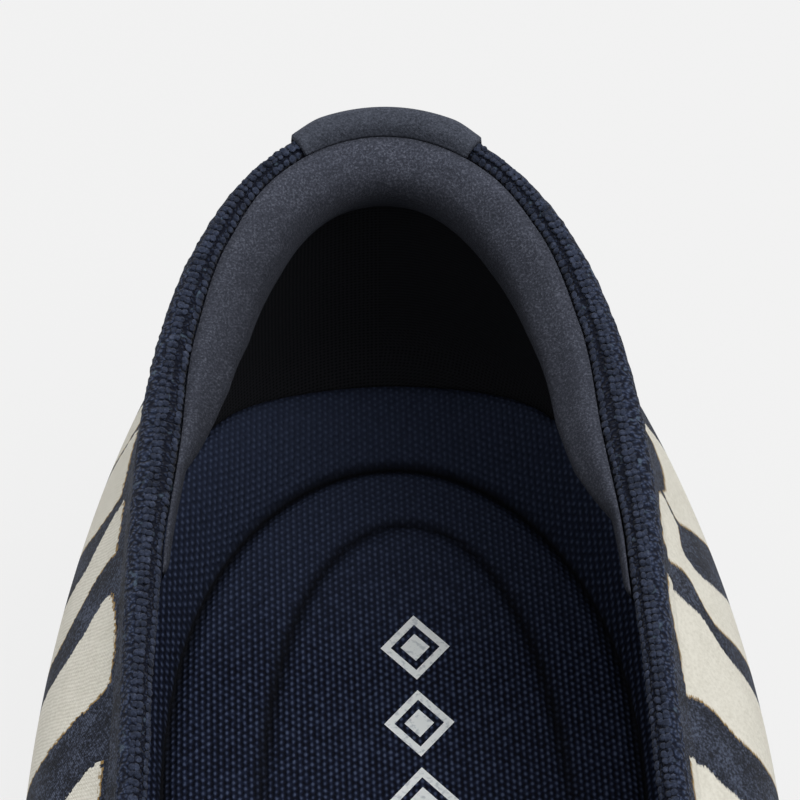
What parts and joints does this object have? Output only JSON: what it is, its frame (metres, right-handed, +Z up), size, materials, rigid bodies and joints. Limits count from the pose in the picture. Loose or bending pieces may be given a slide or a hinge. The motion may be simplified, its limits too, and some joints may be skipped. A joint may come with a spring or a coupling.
{
  "type": "knitted loafer",
  "caption": "Slip-on knitted loafer with a ribbed collar band, padded suede heel lining and tab, moulded footbed and low rubber heel; for the right foot.",
  "frame": {"origin": "on the ground, under the middle of the shoe's length and width", "axes": "+Z up, +Y towards the heel, -Y towards the toe, -X towards the outer side of the right foot"},
  "size_m": [0.0858, 0.252, 0.0711],
  "materials": {
    "sole_rubber": "matt, dark",
    "footbed_navy": "fine basket weave, navy",
    "knit_cream": "flat knit, cream ground with navy stripes",
    "suede_navy": "microfibre suede, dark navy"
  },
  "bodies": {
    "root": {"outsole": "sole_rubber", "insole": "footbed_navy", "upper": "knit_cream", "heel_pad": "suede_navy", "heel_tab": "suede_navy"}
  },
  "joints": []
}
